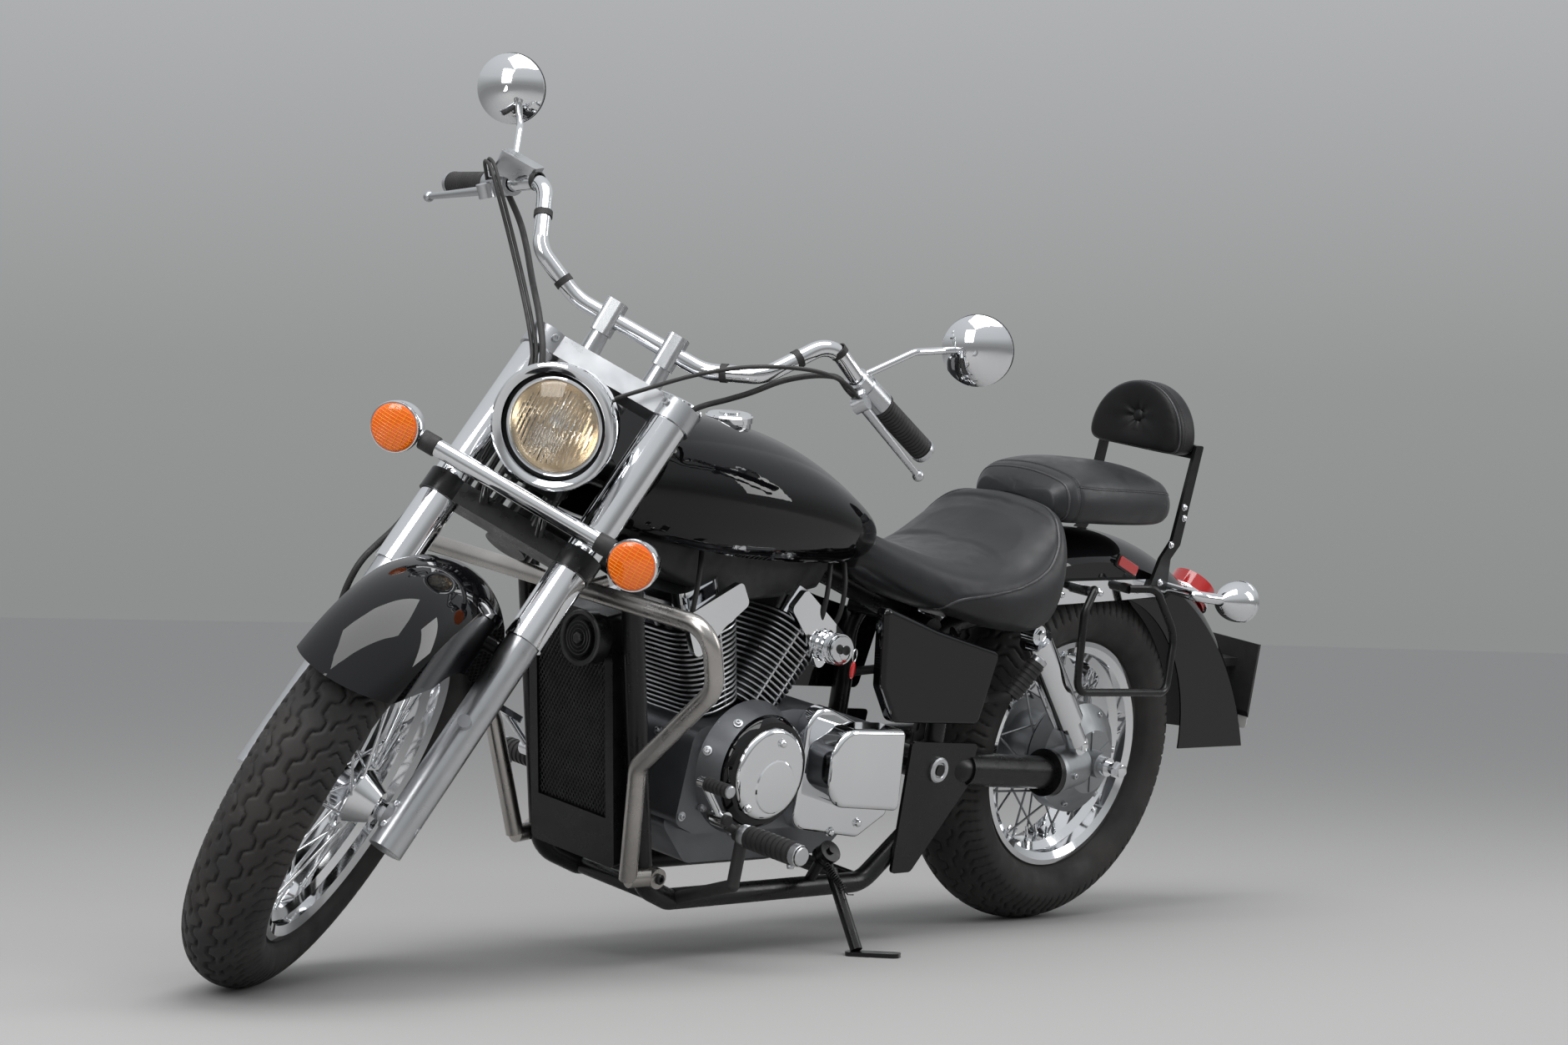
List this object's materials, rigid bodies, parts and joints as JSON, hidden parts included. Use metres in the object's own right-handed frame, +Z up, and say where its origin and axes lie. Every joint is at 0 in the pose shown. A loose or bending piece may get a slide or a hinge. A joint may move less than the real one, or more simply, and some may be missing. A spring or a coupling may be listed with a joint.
{
  "type": "motorcycle",
  "caption": "Cruiser motorcycle with a V-twin engine, wire-spoked wheels, wide bars, a crash bar and a back rest, parked on its side stand",
  "frame": {"origin": "on the ground under the middle of the whole machine as it stands", "axes": "+X to the front, +Y to the rider's left, +Z up"},
  "size_m": [2.4783, 0.8372, 1.4244],
  "materials": {
    "frame": "satin black",
    "swingarm": "satin black",
    "final_drive": "bead blasted",
    "rear_axle": "polished",
    "shock_absorbers": "polished",
    "engine_block": "satin",
    "cylinders": "grey with bright fin edges",
    "head_covers": "polished",
    "left_engine_covers": "polished",
    "air_cleaner": "polished",
    "radiator": "matt black",
    "fuel_tank": "gloss black",
    "rider_seat": "soft",
    "pillion_seat": "soft",
    "side_covers": "gloss black",
    "rear_fender": "gloss black",
    "fender_rails": "polished",
    "exhaust": "polished",
    "crash_bars": "brushed",
    "pannier_rails": "satin black",
    "sissy_bar": "satin black",
    "back_rest": "soft",
    "tail_lamp": "red lens",
    "rear_signals": "polished",
    "rear_signal_lenses": "amber lens",
    "plate_bracket": "black",
    "rider_pegs": "ribbed",
    "foot_controls": "satin with a rubber toe piece",
    "pillion_pegs": "ribbed",
    "stand_bracket": "satin black",
    "horn": "satin black",
    "ignition_switch": "polished",
    "speedometer": "polished",
    "fork_sliders": "satin",
    "fork_covers": "polished",
    "top_bridge": "satin",
    "lower_bridge": "satin black",
    "front_axle": "polished",
    "risers": "satin",
    "handlebar": "polished",
    "grips": "ribbed",
    "controls": "satin black",
    "control_cables": "black cable sleeves",
    "mirrors": "polished",
    "headlamp": "polished",
    "headlamp_lens": "fluted",
    "light_bar": "polished",
    "front_signals": "polished",
    "front_signal_lenses": "amber lens",
    "front_fender": "gloss black",
    "brake_caliper": "satin black",
    "front_tyre": "matt",
    "front_rim": "polished",
    "front_hub": "polished",
    "front_disc": "ground",
    "rear_tyre": "matt",
    "rear_rim": "polished",
    "rear_hub": "polished",
    "side_stand": "satin black"
  },
  "bodies": {
    "chassis": {"frame": "frame", "swingarm": "swingarm", "final_drive": "final_drive", "rear_axle": "rear_axle", "shock_absorbers": "shock_absorbers", "engine_block": "engine_block", "cylinders": "cylinders", "head_covers": "head_covers", "left_engine_covers": "left_engine_covers", "air_cleaner": "air_cleaner", "radiator": "radiator", "fuel_tank": "fuel_tank", "rider_seat": "rider_seat", "pillion_seat": "pillion_seat", "side_covers": "side_covers", "rear_fender": "rear_fender", "fender_rails": "fender_rails", "exhaust": "exhaust", "crash_bars": "crash_bars", "pannier_rails": "pannier_rails", "sissy_bar": "sissy_bar", "back_rest": "back_rest", "tail_lamp": "tail_lamp", "rear_signals": "rear_signals", "rear_signal_lenses": "rear_signal_lenses", "plate_bracket": "plate_bracket", "rider_pegs": "rider_pegs", "foot_controls": "foot_controls", "pillion_pegs": "pillion_pegs", "stand_bracket": "stand_bracket", "horn": "horn", "ignition_switch": "ignition_switch", "speedometer": "speedometer"},
    "steering": {"fork_sliders": "fork_sliders", "fork_covers": "fork_covers", "top_bridge": "top_bridge", "lower_bridge": "lower_bridge", "front_axle": "front_axle", "risers": "risers", "handlebar": "handlebar", "grips": "grips", "controls": "controls", "control_cables": "control_cables", "mirrors": "mirrors", "headlamp": "headlamp", "headlamp_lens": "headlamp_lens", "light_bar": "light_bar", "front_signals": "front_signals", "front_signal_lenses": "front_signal_lenses", "front_fender": "front_fender", "brake_caliper": "brake_caliper"},
    "front_wheel": {"front_tyre": "front_tyre", "front_rim": "front_rim", "front_hub": "front_hub", "front_disc": "front_disc"},
    "rear_wheel": {"rear_tyre": "rear_tyre", "rear_rim": "rear_rim", "rear_hub": "rear_hub"},
    "stand_leg": {"side_stand": "side_stand"}
  },
  "joints": [
    {"name": "steering", "type": "hinge", "parent": "chassis", "child": "steering", "pos_m": [0.64403, 0.0126, 0.68613], "axis": [-0.5503, 0.1622, 0.819], "range_deg": [-74, 0]},
    {"name": "front_wheel_spin", "type": "hinge", "parent": "steering", "child": "front_wheel", "pos_m": [0.95101, -0.03626, 0.2916], "axis": [-0.5025, 0.7191, -0.48], "continuous": true},
    {"name": "rear_wheel_spin", "type": "hinge", "parent": "chassis", "child": "rear_wheel", "pos_m": [-0.68094, -0.06116, 0.31362], "axis": [0, 0.981, -0.1942], "continuous": true},
    {"name": "side_stand", "type": "hinge", "parent": "chassis", "child": "stand_leg", "pos_m": [0.00765, 0.04399, 0.15482], "axis": [0.091, 0.8612, 0.5001], "range_deg": [0, 92]}
  ]
}
